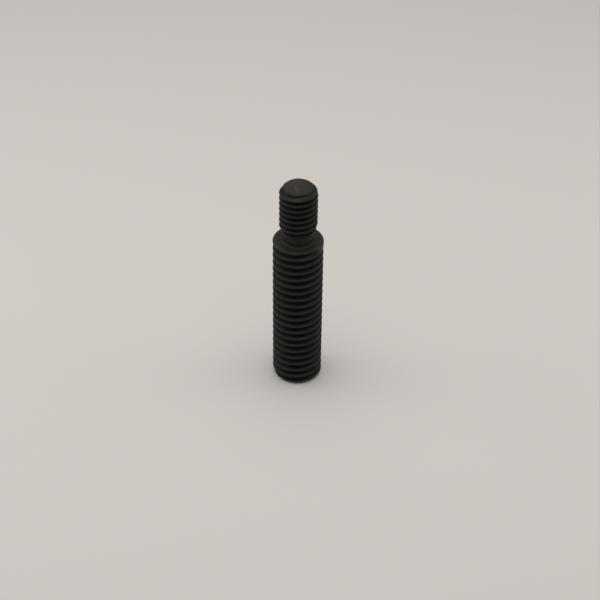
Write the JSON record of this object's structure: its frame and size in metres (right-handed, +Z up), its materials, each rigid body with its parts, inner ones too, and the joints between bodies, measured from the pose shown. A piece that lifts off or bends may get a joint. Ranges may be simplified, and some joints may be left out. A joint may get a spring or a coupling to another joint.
{
  "type": "stepped double-ended threaded stud",
  "caption": "Blackened steel stepped stud: a large threaded length ends in a flat shoulder, then a relieved neck and a smaller threaded end, joining a large tapped hole to a small one.",
  "frame": {"origin": "centre of the foot face, the flat end of the large thread that the stud stands on", "axes": "+Z up along the stud's axis, from the large thread towards the small threaded tip; X and Y are free, because the stud is round"},
  "size_m": [0.0126, 0.0126, 0.0586],
  "materials": {
    "black_steel": "matt black oxide over turned and threaded steel, faintly mottled, a little lighter on the faces"
  },
  "bodies": {
    "root": {"stepped_stud": "black_steel"}
  },
  "joints": []
}
